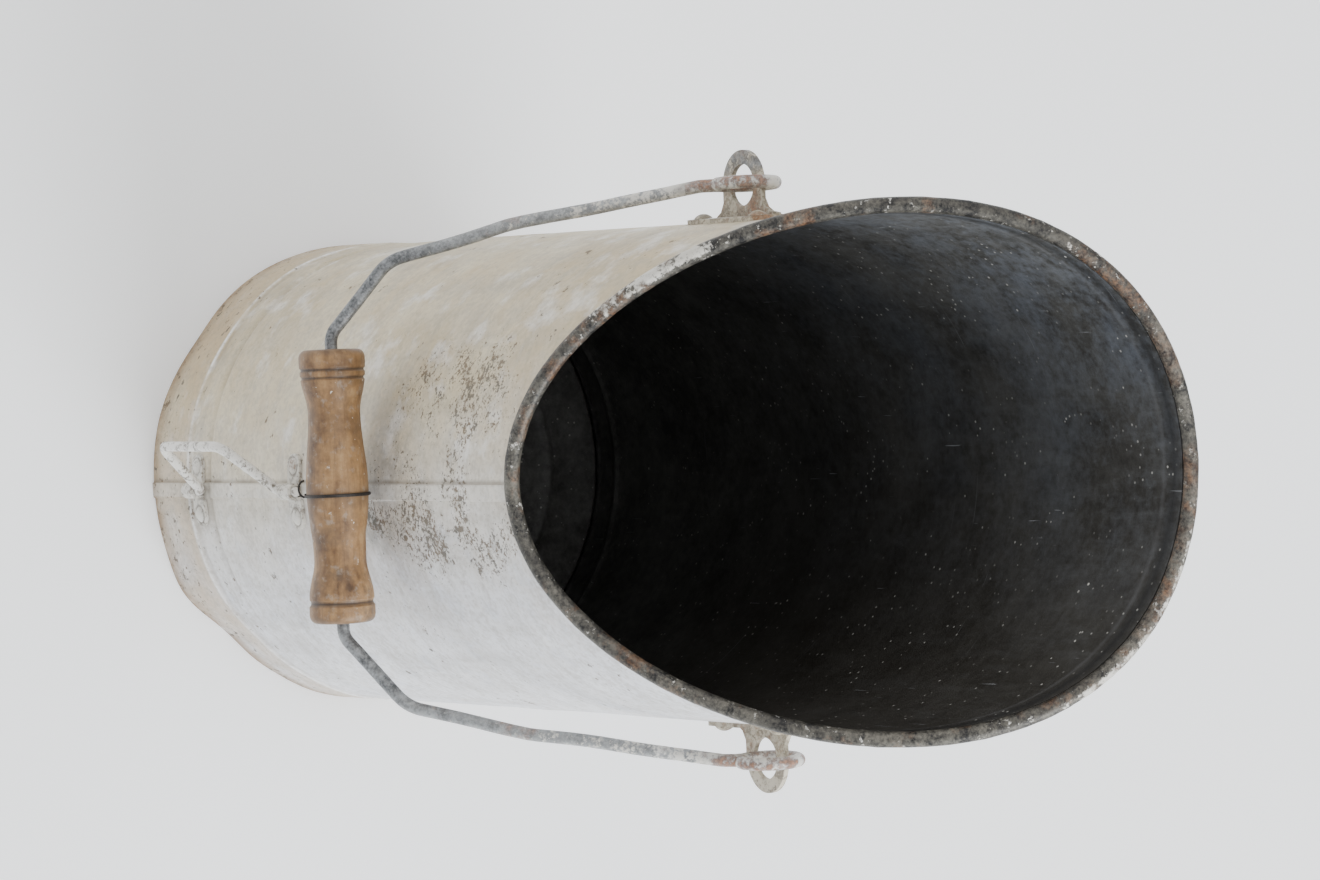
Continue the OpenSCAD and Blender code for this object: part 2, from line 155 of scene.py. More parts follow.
def dent(azimuth, z):
    """offset of the knocked-about sheet outwards; azimuth in degrees"""
    angle = math.radians(azimuth)
    point = (105 * math.cos(angle), 105 * math.sin(angle), z)
    offset = (0.75 * fbm(point, scale=70, seed=3.0, octaves=2)
              + 0.16 * fbm(point, scale=22, seed=8.0, octaves=2))
    for at, height, reach, reach_z, depth in DENTS:
        turn = turn_from(azimuth, at)
        offset += -depth * math.exp(-(turn / reach) ** 2 - ((z - height) / reach_z) ** 2)
    keep = 1.0
    for at, height, reach, reach_z in FLATS:
        turn = turn_from(azimuth, at)
        keep *= 1 - math.exp(-((turn / reach) ** 4 + ((z - height) / reach_z) ** 4))
    below_mouth = clamp01((330 - z) / 120)
    return offset * keep * (0.15 + 0.85 * below_mouth)


# ---------------------------------------------------------------- mesh helpers
def band(row, next_row, count, flipped=False):
    """quads joining two closed rows of count vertices"""
    faces = []
    for j in range(count):
        k = (j + 1) % count
        a, b, c, d = (row * count + j, row * count + k,
                      next_row * count + k, next_row * count + j)
        faces.append((a, d, c, b) if flipped else (a, b, c, d))
    return faces


def cap(row, count, flipped=False):
    """one face closing a row of count vertices"""
    corners = range(row * count, (row + 1) * count)
    return tuple(reversed(corners)) if flipped else tuple(corners)


def add_piece(name, verts, faces, materials, rides, replaces, sharp_deg,
              face_materials=None):
    """smooth-shaded mesh from mm points, with edges over sharp_deg kept sharp"""
    mesh = bpy.data.meshes.new(name)
    mesh.from_pydata([tuple(np.asarray(v) * MM) for v in verts], [], faces)
    mesh.validate()
    bm = bmesh.new()
    bm.from_mesh(mesh)
    bmesh.ops.recalc_face_normals(bm, faces=bm.faces)
    bm.to_mesh(mesh)
    bm.free()
    piece = bpy.data.objects.new(name, mesh)
    bpy.context.scene.collection.objects.link(piece)
    for material in materials:
        mesh.materials.append(material)
    if face_materials is not None:
        for polygon, index in zip(mesh.polygons, face_materials):
            polygon.material_index = index
    mesh.polygons.foreach_set("use_smooth", [True] * len(mesh.polygons))
    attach(piece, rides)
    bm = bmesh.new()
    bm.from_mesh(mesh)
    limit = math.radians(sharp_deg)
    for edge in bm.edges:
        if len(edge.link_faces) == 2 and edge.calc_face_angle(0.0) > limit:
            edge.smooth = False
    bm.to_mesh(mesh)
    bm.free()
    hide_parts(replaces)


def unit(v):
    v = np.asarray(v, float)
    return v / np.linalg.norm(v)


def square_to(v, direction):
    return unit(v - np.dot(v, direction) * direction)


def carry_frame(path, first_side):
    """tangents along a path, and a side direction carried along it without twist"""
    runs = [unit(b - a) for a, b in zip(path, path[1:])]
    tangents = [runs[0]] + [unit(a + b) for a, b in zip(runs, runs[1:])] + [runs[-1]]
    sides = [square_to(first_side, tangents[0])]
    for tangent in tangents[1:]:
        sides.append(square_to(sides[-1], tangent))
    return tangents, sides


def tube(path, radius, first_side, around, skin=None):
    """closed round bar with eased ends; skin(point, angle) adds to the radius"""
    start_dir = unit(path[1] - path[0])
    end_dir = unit(path[-1] - path[-2])
    path = ([path[0], path[0] + start_dir * 0.15 * radius, path[0] + start_dir * 0.45 * radius]
            + path[1:-1]
            + [path[-1] - end_dir * 0.45 * radius, path[-1] - end_dir * 0.15 * radius, path[-1]])
    end_shares = (0.72, 0.90, 0.98)
    tangents, sides = carry_frame(path, np.asarray(first_side, float))
    verts, faces = [], []
    last = len(path) - 1
    for i, (point, tangent, side) in enumerate(zip(path, tangents, sides)):
        cross = np.cross(tangent, side)
        from_end = min(i, last - i)
        r = radius * end_shares[from_end] if from_end < 3 else radius
        for j in range(around):
            angle = TAU * j / around
            extra = skin(point, angle) if skin else 0.0
            verts.append(point + (r + extra) * (math.cos(angle) * side + math.sin(angle) * cross))
    for i in range(last):
        faces += band(i, i + 1, around, flipped=True)
    faces.append(cap(0, around))
    faces.append(cap(last, around, flipped=True))
    return verts, faces


def uneven_skin(depth, spread, scale, seed, sink=0.0):
    """small unevenness for a tube's surface"""
    def skin(p, angle):
        point = (p[0] + spread * math.cos(angle), p[1] + spread * math.sin(angle), p[2])
        return depth * fbm(point, scale, seed, octaves=2) - sink
    return skin


def bend(before, corner, after, radius, step):
    """arc that rounds a corner, cut about every step degrees"""
    u, v = unit(corner - before), unit(after - corner)
    cosine = max(-1.0, min(1.0, float(np.dot(u, v))))
    turn = math.acos(cosine)
    w = unit(v - cosine * u)
    start = corner - u * (radius * math.tan(turn / 2))
    n = max(3, math.ceil(math.degrees(turn) / step))
    return [start + radius * math.sin(turn * i / n) * u + radius * (1 - math.cos(turn * i / n)) * w
            for i in range(n + 1)]


def rod_path(points, radii, step=4.0, gap=4.0):
    """corners rounded, then straights cut into lengths of about gap"""
    points = [np.asarray(p, float) for p in points]
    rounded = [points[0]]
    for i in range(1, len(points) - 1):
        rounded += bend(points[i - 1], points[i], points[i + 1], radii[i], step)
    rounded.append(points[-1])
    path = [rounded[0]]
    for a, b in zip(rounded, rounded[1:]):
        length = np.linalg.norm(b - a)
        if length < 1e-6:
            continue
        n = max(1, int(length // gap))
        path += [a + (b - a) * i / n for i in range(1, n + 1)]
    return path


# ---------------------------------------------------------------- shader helpers
def srgb(*channels):
    """0-255 sRGB to linear"""
    shares = [c / 255 for c in channels]
    return tuple(c / 12.92 if c <= 0.04045 else ((c + 0.055) / 1.055) ** 2.4 for c in shares)


class Value:
    """a node's output; arithmetic on it adds one Math node per operation"""

    def __init__(self, tree, socket):
        self.tree = tree
        self.socket = socket

    def __add__(self, other):
        return calc("ADD", self, other)

    def __sub__(self, other):
        return calc("SUBTRACT", self, other)

    def __rsub__(self, other):
        return calc("SUBTRACT", other, self)

    def __mul__(self, other):
        return calc("MULTIPLY", self, other)

    def __truediv__(self, other):
        return calc("DIVIDE", self, other)

    def __pow__(self, other):
        return calc("POWER", self, other)

    def __abs__(self):
        return calc("ABSOLUTE", self)

    def __lt__(self, other):
        return calc("LESS_THAN", self, other)

    def __gt__(self, other):
        return calc("GREATER_THAN", self, other)

    def mul_add(self, factor, offset):
        return calc("MULTIPLY_ADD", self, factor, offset)

    def clamped(self):
        """holds this Math node's result to 0..1"""
        self.socket.node.use_clamp = True
        return self

    def ramp(self, stops):
        """stops: [(position, grey level or 0-255 colour)]"""
        node = self.tree.nodes.new("ShaderNodeValToRGB")
        elements = node.color_ramp.elements
        while len(elements) > 1:
            elements.remove(elements[-1])
        for i, (position, level) in enumerate(stops):
            if i == 0:
                elements[0].position = position
                element = elements[0]
            else:
                element = elements.new(position)
            rgb = srgb(*level) if isinstance(level, tuple) else (level,) * 3
            element.color = (*rgb, 1)
        into(self, node.inputs[0])
        return Value(self.tree, node.outputs[0])

    def ease(self, span, to=(0.0, 1.0)):
        """goes from to[0] at span[0] to to[1] at span[1]"""
        return self.ramp(list(zip(span, to)))


def into(value, socket):
    if isinstance(value, Value):
        value.tree.links.new(value.socket, socket)
    else:
        socket.default_value = value


def calc(kind, a, b=0.0, c=None):
    tree = next(v.tree for v in (a, b, c) if isinstance(v, Value))
    node = tree.nodes.new("ShaderNodeMath")
    node.operation = kind
    into(a, node.inputs[0])
    into(b, node.inputs[1])
    if c is not None:
        into(c, node.inputs[2])
    return Value(tree, node.outputs[0])


def blend(mask, below, above):
    """below where mask is 0, above where it is 1; each a Value or a 0-255 colour"""
    node = mask.tree.nodes.new("ShaderNodeMix")
    node.data_type = "RGBA"
    node.clamp_factor = True
    into(mask, node.inputs[0])
    for socket, colour in ((node.inputs[6], below), (node.inputs[7], above)):
        into(colour if isinstance(colour, Value) else (*srgb(*colour), 1), socket)
    return Value(mask.tree, node.outputs[2])


def largest(a, b):
    return calc("MAXIMUM", a, b)


def distance(a, b):
    return calc("SQRT", a * a + b * b)


def fade(value, reach):
    """1 at zero or below, 0 from reach on"""
    return (1.0 - value / reach).clamped()


def line_at(value, at, reach):
    """1 at the given place, 0 at reach either side"""
    return fade(abs(value - at), reach)


def rise(value, start, rate):
    return ((value - start) * rate).clamped()


def fall(value, end, rate):
    return ((end - value) * rate).clamped()


def blob(a, b, centre, reach):
    """1 at the centre, 0 on an ellipse with the given reaches"""
    square_a, square_b = (abs((v - c) / r) ** 2.0 for v, c, r in zip((a, b), centre, reach))
    return (1.0 - (square_a + square_b)).clamped()


def wall_radius(z, extra):
    """the wall's radius in metres, with extra mm added"""
    return z.mul_add(-TAPER, (BODY_R + extra) * MM)


def below_mouth(y, z):
    """depth in metres below the rim's centre line"""
    t = (y - MOUTH_BACK_Y * MM) / ((MOUTH_FRONT_Y - MOUTH_BACK_Y) * MM) \
        if MOUTH_BACK_Y > 0 else (y + -MOUTH_BACK_Y * MM) / ((MOUTH_FRONT_Y - MOUTH_BACK_Y) * MM)
    slant = t.mul_add((MOUTH_FRONT_Z - MOUTH_BACK_Z) * MM, MOUTH_BACK_Z * MM)
    return slant + t * (1.0 - t) * (4 * MOUTH_RISE * MM) - z


class Material:
    """a Principled material whose colour is built up coat by coat"""

    def __init__(self, name):
        self.material = bpy.data.materials.new(name)
        self.material.use_nodes = True
        self.tree = self.material.node_tree
        self.tree.nodes.clear()
        output = self.tree.nodes.new("ShaderNodeOutputMaterial")
        self.shader = self.tree.nodes.new("ShaderNodeBsdfPrincipled")
        self.tree.links.new(self.shader.outputs[0], output.inputs[0])
        texture = self.tree.nodes.new("ShaderNodeTexCoord")
        self.coords = Value(self.tree, texture.outputs["Object"])
        self.colour = None

    def xyz(self):
        node = self.tree.nodes.new("ShaderNodeSeparateXYZ")
        into(self.coords, node.inputs[0])
        return [Value(self.tree, output) for output in node.outputs]

    def noise(self, detail, rough, scale=1.0, seed=0.0, stretch=None, turn=(0, 0, 0),
              distortion=0.0):
        """stretch scales each axis by itself, after a turn in radians"""
        coords = self.coords
        if stretch:
            mapping = self.tree.nodes.new("ShaderNodeMapping")
            mapping.inputs["Scale"].default_value = stretch
            mapping.inputs["Rotation"].default_value = turn
            into(coords, mapping.inputs[0])
            coords = Value(self.tree, mapping.outputs[0])
        shift = self.tree.nodes.new("ShaderNodeVectorMath")
        shift.operation = "ADD"
        into(coords, shift.inputs[0])
        shift.inputs[1].default_value = (seed * 3.1, seed * 1.7, seed * -2.3)
        node = self.tree.nodes.new("ShaderNodeTexNoise")
        node.inputs["Scale"].default_value = scale
        node.inputs["Detail"].default_value = detail
        node.inputs["Roughness"].default_value = rough
        node.inputs["Distortion"].default_value = distortion
        self.tree.links.new(shift.outputs[0], node.inputs["Vector"])
        return Value(self.tree, node.outputs["Fac"])

    def patches(self, span, to=(0.0, 1.0), **settings):
        """noise eased into a mask"""
        return self.noise(**settings).ease(span, to)

    def voronoi(self, scale, output="Distance"):
        node = self.tree.nodes.new("ShaderNodeTexVoronoi")
        node.inputs["Scale"].default_value = scale
        into(self.coords, node.inputs["Vector"])
        return Value(self.tree, node.outputs[output])

    def coat(self, colour, mask, amount=None):
        """lays a colour over what is there, where mask is high"""
        share = mask if amount is None else mask * amount
        self.colour = blend(share, self.colour, colour)

    def finish(self, roughness, specular=None, metallic=None, bumps=()):
        """bumps: (height, strength, distance in metres), one laid on another"""
        inputs = self.shader.inputs
        into(self.colour, inputs["Base Color"])
        into(roughness, inputs["Roughness"])
        if specular is not None:
            into(specular, inputs["Specular IOR Level"])
        if metallic is not None:
            into(metallic, inputs["Metallic"])
        normal = None
        for height, strength, depth in bumps:
            node = self.tree.nodes.new("ShaderNodeBump")
            node.inputs["Strength"].default_value = strength
            node.inputs["Distance"].default_value = depth
            into(height, node.inputs["Height"])
            if normal:
                into(normal, node.inputs["Normal"])
            normal = Value(self.tree, node.outputs[0])
        if normal:
            into(normal, inputs["Normal"])
        return self.material


# ---------------------------------------------------------------- materials (places in metres)
def chips(m, scale, cut, soft, region, seed):
    """ragged specks where noise passes cut; a high region lets more through"""
    edge = cut - region * 0.16
    speck = m.noise(scale=scale, detail=5, rough=0.65, seed=seed)
    return ((speck - edge) * (1.0 / soft)).clamped()


def paint_outside():
    m = Material("old_white_paint")
    x, y, z = m.xyz()
    side = x.mul_add(6.0, 0.5).clamped()           # 0 at -X, 1 at +X
    left = 1.0 - side
    back = y < 0.0
    big = m.noise(scale=9, detail=4, rough=0.55, seed=1.0)
    mid = m.noise(scale=38, detail=6, rough=0.65, seed=2.0)
    small = m.noise(scale=120, detail=5, rough=0.65, seed=15.0)
    fine = m.noise(scale=420, detail=4, rough=0.65, seed=3.0)
    streak = m.noise(stretch=(70, 70, 8), detail=5, rough=0.62, seed=4.0)
    brush = m.noise(stretch=(34, 34, 110), detail=5, rough=0.66, seed=16.0)
    # painted light and shade: a darker warm white at -X, away from the window light, and a lit
    # cool white at +X
    m.colour = blend((side + big.mul_add(0.6, -0.3)).ease(span=(0.30, 0.78)),
                     (206, 194, 166), (224, 225, 229))
    # broad brown and yellowish staining, strongest on the -X half; the extra amount there is
    # painted shade
    stain = (big * 0.40 + (mid * 0.40 + small * 0.20)).ease(span=(0.47, 0.60))
    m.coat((184, 164, 126), stain, amount=left.mul_add(0.62, 0.10))
    brown = m.noise(scale=24, detail=5, rough=0.65, seed=17.0) * 0.7 + small * 0.3
    m.coat((156, 134, 106), brown.ease(span=(0.54, 0.66)), amount=left.mul_add(0.30, 0.12))
    # upright and level grime
    m.coat((150, 146, 138), streak.ease(span=(0.46, 0.70)), amount=0.30)
    m.coat((146, 142, 134), brush.ease(span=(0.50, 0.66)), amount=0.26)
    # pale rubbed patches
    pale = m.patches(scale=46, detail=5, rough=0.6, seed=9.0, span=(0.54, 0.66))
    m.coat((236, 237, 238), pale, amount=0.45)
    # bluish thin spots on the +X half; their bluish tint there is partly painted cool window light
    blue = m.patches(scale=60, detail=4, rough=0.6, seed=18.0, span=(0.55, 0.66))
    m.coat((186, 194, 208), blue * side, amount=0.30)
    # foot band: browner cream, a rusty lower edge, and a pale line along the crease that is a
    # painted highlight
    cream = m.patches(scale=30, detail=5, rough=0.6, seed=5.0, span=(0.32, 0.60), to=(0.35, 1.0))
    m.coat((188, 162, 122), fade(z - 0.036, reach=0.006) * cream, amount=0.62)
    rusty = m.patches(scale=80, detail=6, rough=0.7, seed=6.0, span=(0.34, 0.54), to=(0.15, 1.0))
    m.coat((136, 104, 66), fade(z, reach=0.012) * rusty, amount=0.85)
    # painted highlight: a pale line where the light catches the step of the foot band
    crease = line_at(z, at=0.0388, reach=0.0015)
    m.coat((248, 248, 247), crease * mid.ease(span=(0.40, 0.56), to=(0.25, 1.0)), amount=0.95)
    # painted shade in the pressed lines, in patches
    for at, reach, amount in ((0.0428, 0.0026, 0.45), (GROOVE_Z * MM, 0.0022, 0.35)):
        pressed_line_shade = line_at(z, at, reach) * mid.ease(span=(0.38, 0.60), to=(0.15, 1.0))
        m.coat((126, 110, 88), pressed_line_shade, amount)
    # the lap seam: a paler raised strip, and a dirty line on its edge
    m.coat((226, 225, 220), (x > 0.0) * (x < 0.0066) * back, amount=0.30)
    gaps = m.patches(scale=60, detail=3, rough=0.6, seed=7.0, span=(0.3, 0.6), to=(0.35, 1.0))
    m.coat((104, 94, 80), line_at(x, at=-0.0006, reach=0.0015) * back * gaps, amount=0.70)
    # darker just under the rolled rim, and brownish dirt round the ears
    under = fade(below_mouth(y, z), reach=0.016) * mid.ease(span=(0.36, 0.6), to=(0.2, 1.0))
    m.coat((140, 130, 114), under, amount=0.55)
    near_ear = blob(y, z, centre=(-0.002, EAR_Z * MM), reach=(0.030, 0.040)) * (abs(x) > 0.08)
    m.coat((156, 136, 104), near_ear * mid.ease(span=(0.36, 0.56), to=(0.1, 1.0)), amount=0.45)
    # chips cluster either side of the seam, in two large and two small areas
    patch = m.patches(scale=30, detail=4, rough=0.65, seed=11.0, span=(0.40, 0.58))
    large_minus = blob(x, z, centre=(-0.033, 0.283), reach=(0.032, 0.062))
    large_plus = blob(x, z, centre=(0.018, 0.278), reach=(0.034, 0.070))
    small_plus = blob(x, z, centre=(0.017, 0.214), reach=(0.014, 0.030))
    small_minus = blob(x, z, centre=(-0.012, 0.234), reach=(0.016, 0.024))
    region = largest(largest(large_minus, large_plus), largest(small_plus, small_minus))
    region = region * back * patch.mul_add(0.65, 0.35) + patch * 0.34
    chip = largest(
        largest(chips(m, scale=330, cut=0.712, soft=0.03, region=region, seed=1.0),
                chips(m, scale=720, cut=0.712, soft=0.04, region=region, seed=2.0)),
        largest(chips(m, scale=150, cut=0.735, soft=0.03, region=patch * 0.7, seed=3.0),
                chips(m, scale=260, cut=0.70, soft=0.03, region=fade(z, reach=0.06) * 0.75,
                      seed=4.0)))
    smudge = (largest(small_plus, small_minus * 0.7) * back
              * m.patches(scale=150, detail=5, rough=0.7, seed=19.0, span=(0.42, 0.60)))
    m.coat((120, 120, 116), smudge, amount=0.65)
    bared = blend(m.patches(scale=120, detail=3, rough=0.6, seed=8.0, span=(0.42, 0.58)),
                  (78, 72, 62), (104, 84, 60))
    m.coat(bared, chip, amount=0.88)
    # dust in the paint, and a darker patch low on the seam round the lower clip, partly dirt and
    # partly painted contact shade
    m.coat((140, 130, 112), (fine * 0.6 + small * 0.4).ease(span=(0.40, 0.54), to=(1.0, 0.0)),
           amount=0.36)
    dirt_and_shade_spot = blob(x, z, centre=(0.008, 0.045), reach=(0.017, 0.020)) * back
    m.coat((112, 104, 92), dirt_and_shade_spot * small.ease(span=(0.40, 0.58), to=(0.2, 1.0)), amount=0.60)
    waves = m.noise(scale=24, detail=3, rough=0.5, seed=12.0)
    return m.finish(roughness=mid * 0.20 + 0.42 + chip * 0.15, specular=0.45,
                    bumps=[(waves, 0.30, 0.0018), (streak, 0.25, 0.0004), (small, 0.3, 0.0004),
                           (fine, 0.25, 0.00025), (1.0 - chip, 0.7, 0.00022)])


def black_inside():
    m = Material("coal_black_inside")
    x, y, z = m.xyz()
    big = m.noise(scale=11, detail=4, rough=0.6, seed=1.0)
    mid = m.noise(scale=46, detail=6, rough=0.7, seed=11.0)
    grit = m.noise(scale=260, detail=5, rough=0.7, seed=12.0)
    fine = m.noise(scale=700, detail=4, rough=0.65, seed=2.0)
    tone = big * 0.35 + (mid * 0.35 + grit * 0.30)
    m.colour = blend(tone.ease(span=(0.40, 0.60)), (50, 49, 47), (90, 89, 86))
    # browner towards +X, greyer deep down, a cold haze high up towards -X
    side = x.mul_add(6.5, 0.5).clamped()
    m.coat((44, 40, 34), side, amount=0.62)
    dust = blend(tone.ease(span=(0.42, 0.58)), (80, 79, 77), (136, 135, 132))
    m.coat(dust, fall(z, end=0.24, rate=6.0), amount=0.60)
    high = rise(z, start=0.18, rate=3.2)
    haze = m.noise(scale=18, detail=5, rough=0.65, seed=6.0) * 0.6 + grit * 0.4
    m.coat((112, 120, 134), haze.ease(span=(0.44, 0.66)) * ((1.0 - side) * high), amount=0.60)
    # lengthwise and round rubbing, weaker towards +X
    rubbing = high * (1.0 - side * 0.65)
    upright = m.patches(stretch=(120, 120, 26), detail=6, rough=0.70, seed=3.0,
                        span=(0.50, 0.74))
    m.coat((112, 114, 116), upright * rubbing, amount=0.50)
    level = m.patches(stretch=(30, 30, 190), turn=(0.12, 0.05, 0), detail=6, rough=0.68,
                      seed=13.0, span=(0.52, 0.80))
    m.coat((110, 112, 114), level * rubbing, amount=0.28)
    # painted shade in a darker band just inside the rolled rim, and a painted highlight in a paler
    # line at its foot
    depth = below_mouth(y, z)
    m.coat((34, 34, 35), line_at(depth, at=0.0055, reach=0.0045), amount=0.65)
    m.coat((112, 112, 114), line_at(depth, at=0.0115, reach=0.0018) * mid, amount=0.5)
    # long thin scratches, level and upright, each in patches
    level = m.patches(stretch=(9, 9, 900), turn=(0.10, -0.06, 0.0), detail=2, rough=0.5,
                      seed=4.0, span=(0.715, 0.74))
    level = level * m.patches(scale=30, detail=2, rough=0.5, seed=13.0, span=(0.52, 0.6))
    upright = m.patches(stretch=(900, 900, 26), turn=(0.05, 0.1, 0.2), detail=2, rough=0.5,
                        seed=5.0, span=(0.72, 0.745))
    upright = upright * m.patches(scale=26, detail=2, rough=0.5, seed=15.0, span=(0.50, 0.60))
    m.coat((150, 152, 156), level, amount=0.35)
    m.coat((176, 178, 182), upright, amount=0.70)
    # white crumbs and specks
    gate = m.patches(scale=40, detail=3, rough=0.5, seed=7.0, span=(0.46, 0.60))
    crumbs = (m.voronoi(scale=120).ease(span=(0.050, 0.085), to=(1.0, 0.0))
              * m.voronoi(scale=120, output="Color").ease(span=(0.68, 0.70)))
    m.coat((204, 202, 194), crumbs * gate)
    specks = (m.voronoi(scale=330).ease(span=(0.13, 0.20), to=(1.0, 0.0))
              * m.voronoi(scale=330, output="Color").ease(span=(0.66, 0.69)))
    m.coat((190, 188, 182), specks * gate.mul_add(0.65, 0.20))
    waves = m.noise(scale=30, detail=3, rough=0.5, seed=9.0)
    lumps = m.noise(scale=110, detail=4, rough=0.6, seed=10.0)
    return m.finish(roughness=big * 0.25 + 0.40 + (fine - 0.5) * 0.3, specular=0.35,
                    bumps=[(waves, 0.35, 0.0014), (grit, 0.35, 0.0003), (fine, 0.35, 0.0002),
                           (lumps, 0.35, 0.0006)])


def worn_steel(name, base, dark, rust, paint, metallic, scale=1.0,
               paint_colours=((226, 225, 222), (196, 189, 172)),
               rust_colours=((94, 56, 28), (170, 106, 48)),
               rust_where=None, paint_where=None, dark_where=None, grime_where=None,
               sooty_inside=False):
    """old bare or half-painted steel; rust and paint are amounts, each *_where adds a mask"""
    m = Material(name)
    big = m.noise(scale=34 * scale, detail=4, rough=0.6, seed=1.0)
    mid = m.noise(scale=190 * scale, detail=6, rough=0.7, seed=2.0)
    fine = m.noise(scale=900 * scale, detail=4, rough=0.65, seed=3.0)
    tone = mid * 0.6 + fine * 0.4
    m.colour = blend(tone.ease(span=(0.40, 0.60)), dark, base)
    m.coat(dark, big.ease(span=(0.42, 0.58), to=(1.0, 0.0)), amount=0.35)
    if dark_where:
        bare = blend(tone.ease(span=(0.42, 0.58)), (66, 67, 68), (140, 142, 144))
        m.coat(bare, dark_where(m))
    # rust blooms
    grain = m.patches(scale=420 * scale, detail=5, rough=0.72, seed=4.0, span=(0.38, 0.54))
    blooms = m.patches(scale=46 * scale, detail=5, rough=0.68, seed=14.0,
                       span=(0.64 - rust * 0.3, 0.80 - rust * 0.3))
    if rust_where:
        blooms = largest(blooms, rust_where(m))
    rust_mask = blooms * grain.mul_add(0.8, 0.2)
    m.coat(blend(fine.ease(span=(0.35, 0.65)), *rust_colours), rust_mask, amount=0.72)
    # left-over paint, kept off the rust
    flakes = (m.noise(scale=150 * scale, detail=6, rough=0.74, seed=5.0) * 0.55
              + m.noise(scale=620 * scale, detail=4, rough=0.65, seed=6.0) * 0.45)
    if paint_where:
        flakes = flakes + paint_where(m)
    paint_mask = rise(flakes, start=0.70 - 0.26 * paint, rate=16.0)
    paint_mask = paint_mask * (1.0 - rust_mask * 2.2).clamped()
    shade = m.noise(scale=60 * scale, detail=3, rough=0.5, seed=7.0)
    m.coat(blend(shade, *paint_colours), paint_mask, amount=0.92)
    if grime_where:
        m.coat((84, 72, 56), grime_where(m), amount=0.75)
    if sooty_inside:                      # what shows inside the sheet is black like the sheet
        x, y, z = m.xyz()
        inside = distance(x, y) < wall_radius(z, extra=-0.45)
        m.coat(blend(mid, (44, 43, 42), (92, 91, 88)), inside)
    waves = m.noise(scale=90 * scale, detail=3, rough=0.5, seed=9.0)
    return m.finish(roughness=mid * 0.30 + 0.34,
                    metallic=(1.0 - largest(paint_mask, rust_mask)) * metallic,
                    bumps=[(waves, 0.35, 0.0006), (fine, 0.4, 0.0002),
                           (paint_mask, 0.6, 0.00016), (rust_mask, 0.4, 0.0002)])


def wood():
    m = Material("worn_turned_wood")
    x, _, _ = m.xyz()
    grain = m.noise(stretch=(9, 120, 120), detail=6, rough=0.60, seed=1.0, distortion=0.5)
    fibres = m.noise(stretch=(60, 800, 800), detail=4, rough=0.7, seed=2.0)
    blotches = m.noise(scale=38, detail=5, rough=0.65, seed=3.0)
    mottle = m.noise(scale=170, detail=5, rough=0.7, seed=4.0)
    tone = grain * 0.36 + (blotches * 0.36 + mottle * 0.28)
    m.colour = tone.ramp([(0.39, (74, 51, 31)), (0.46, (114, 84, 53)),
                          (0.54, (146, 112, 74)), (0.64, (172, 140, 100))])
    m.coat((78, 58, 40), fibres.ease(span=(0.36, 0.46), to=(1.0, 0.0)), amount=0.32)
    # dirt, more of it towards +X and beside the binding wire
    dirt = m.patches(scale=60, detail=5, rough=0.7, seed=8.0, span=(0.50, 0.66))
    by_wire = line_at(x, at=0.0035, reach=0.006)
    towards_x = rise(x, start=0.012, rate=60).mul_add(0.45, 0.38)
    m.coat((84, 68, 54), (dirt * towards_x + by_wire * 0.35).clamped())
    grey = m.patches(scale=240, detail=4, rough=0.7, seed=10.0, span=(0.56, 0.68))
    m.coat((160, 152, 142), grey, amount=0.35)
    # darker turned lines and ends; each line has its reach and amount
    line_looks = ((0.0010, 0.85), (0.0009, 0.75), (0.0015, 0.9))
    for (at, _, _), (reach, amount) in zip(GRIP_GROOVES, line_looks):
        m.coat((44, 32, 24), line_at(x, at * MM, reach), amount)
    m.coat((82, 62, 44), rise(abs(x), start=0.0530, rate=330), amount=0.55)
    # flecks of white paint
    flecks = (m.patches(scale=330, detail=3, rough=0.6, seed=5.0, span=(0.685, 0.72))
              * m.patches(scale=60, detail=2, rough=0.5, seed=6.0, span=(0.46, 0.58)))
    m.coat((222, 216, 204), flecks, amount=0.85)
    return m.finish(roughness=blotches * 0.25 + 0.36,
                    bumps=[(grain, 0.3, 0.0004), (fibres, 0.3, 0.00018),
                           (blotches, 0.25, 0.0006), (mottle, 0.25, 0.0002)])


def floor_cloth():
    m = Material("pale_floor")
    m.colour = blend(m.noise(scale=3, detail=3, rough=0.5), (240, 240, 240), (244, 245, 246))
    m.shader.inputs["Emission Color"].default_value = (0.94, 0.97, 1.0, 1)
    m.shader.inputs["Emission Strength"].default_value = 0.30
    return m.finish(roughness=0.9, specular=0.15)


# ---------------------------------------------------------------- where the steel is worn
def near_eyes(m):
    """spots towards the bent eyes at the bail's ends"""
    x, _, z = m.xyz()
    spots = m.patches(scale=120, detail=4, rough=0.65, seed=21.0, span=(0.42, 0.52))
    return rise(abs(x), start=0.109, rate=300) * rise(z, start=0.338, rate=120) * spots


def upper_rod(m):
    """the rod keeps more paint towards its eyes than beside the grip"""
    _, _, z = m.xyz()
    return rise(z, start=0.235, rate=8.0).mul_add(0.25, -0.12)


def low_rod(m):
    """patches of darker bare metal, mostly low on the bail"""
    _, _, z = m.xyz()
    patches = m.patches(scale=75, detail=4, rough=0.65, seed=23.0, span=(0.38, 0.60),
                        to=(0.25, 0.95))
    return fall(z, end=0.285, rate=22.0) * patches


def rivet_rings(m, across, z, centres):
    """a dirty ring round each rivet head; centres are (across, z)"""
    rings = None
    for centre_across, centre_z in centres:
        from_centre = distance(across - centre_across, z - centre_z)
        ring = line_at(from_centre, at=0.0039, reach=0.0011)
        rings = largest(rings, ring) if rings else ring
    return rings * m.patches(scale=140, detail=4, rough=0.65, seed=31.0, span=(0.34, 0.52),
                             to=(0.35, 1.0))


def ear_rings(m):
    _, y, z = m.xyz()
    return rivet_rings(m, y, z, [(-0.007, 0.3715), (-0.007, 0.3325)])


